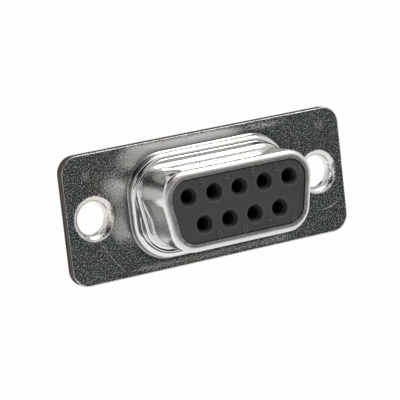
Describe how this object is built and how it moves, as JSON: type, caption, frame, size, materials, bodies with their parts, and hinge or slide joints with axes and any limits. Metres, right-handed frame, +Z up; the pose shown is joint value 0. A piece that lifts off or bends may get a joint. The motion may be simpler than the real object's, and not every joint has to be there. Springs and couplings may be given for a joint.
{
  "type": "d-sub connector",
  "caption": "D-shaped socket connector: drawn steel shell with a flange and two mounting holes, moulded insulators, turned socket contacts with solder cups.",
  "frame": {"origin": "centre of the flange's front face, midway between the two mounting holes", "axes": "+X along the flange, to the right as the plug sees it; -Y the way the plug leaves; +Z up, on the side of the longer row of contacts"},
  "size_m": [0.0308, 0.0166, 0.0126],
  "materials": {
    "front_plating": "bright plated steel with a fine spangle",
    "rear_plating": "bright plated steel, duller than the front",
    "face_plastic": "moulded, matte",
    "back_plastic": "moulded, matte",
    "contact_gilt": "gilt flash over a turned copper alloy"
  },
  "bodies": {
    "root": {"front_shell": "front_plating", "rear_shell": "rear_plating", "front_insulator": "face_plastic", "rear_insulator": "back_plastic", "socket_contact_1": "contact_gilt", "socket_contact_2": "contact_gilt", "socket_contact_3": "contact_gilt", "socket_contact_4": "contact_gilt", "socket_contact_5": "contact_gilt", "socket_contact_6": "contact_gilt", "socket_contact_7": "contact_gilt", "socket_contact_8": "contact_gilt", "socket_contact_9": "contact_gilt"}
  },
  "joints": []
}
